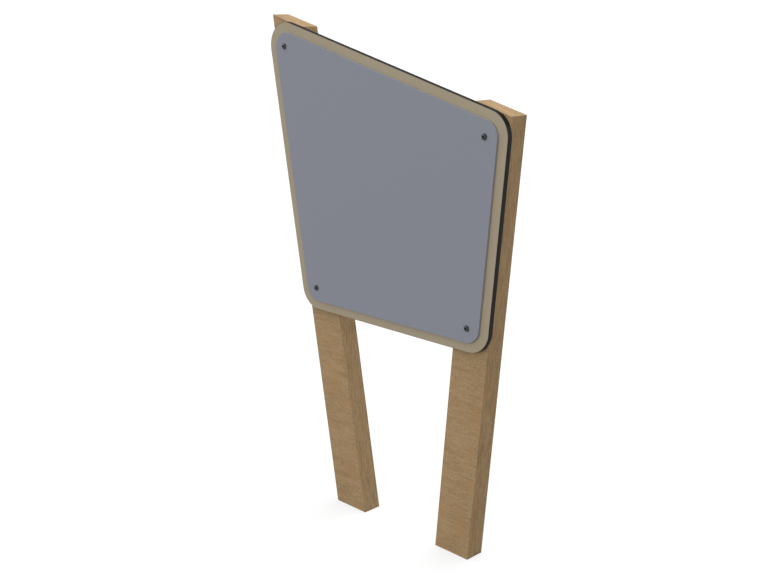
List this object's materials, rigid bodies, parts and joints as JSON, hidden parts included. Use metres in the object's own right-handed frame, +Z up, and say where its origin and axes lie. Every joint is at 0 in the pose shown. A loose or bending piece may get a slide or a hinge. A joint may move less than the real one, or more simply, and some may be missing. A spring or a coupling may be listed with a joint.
{
  "type": "park interpretation sign",
  "caption": "Park interpretation sign: a rounded laminate board and a raised info plate bolted to leaning timber posts with level feet and tops cut on a common slope.",
  "frame": {"origin": "on the ground, under the middle of the whole sign's box", "axes": "+X to the reader's right, +Y to the back of the sign, +Z up; the reader stands on the -Y side"},
  "size_m": [0.745, 0.0894, 1.2],
  "materials": {
    "post_timber": "planed, oiled",
    "board_core": "satin sawn edge",
    "board_decor": "matt laminate",
    "info_plate": "smooth matt laminate",
    "dark_steel": "blackened",
    "bare_steel": "bright stainless"
  },
  "bodies": {
    "root": {"left_post": "post_timber", "right_post": "post_timber", "board_core": "board_core", "front_decor": "board_decor", "rear_decor": "board_decor", "info_plate": "info_plate", "bolts": "dark_steel", "washers": "bare_steel", "cap_nuts": "bare_steel"}
  },
  "joints": []
}
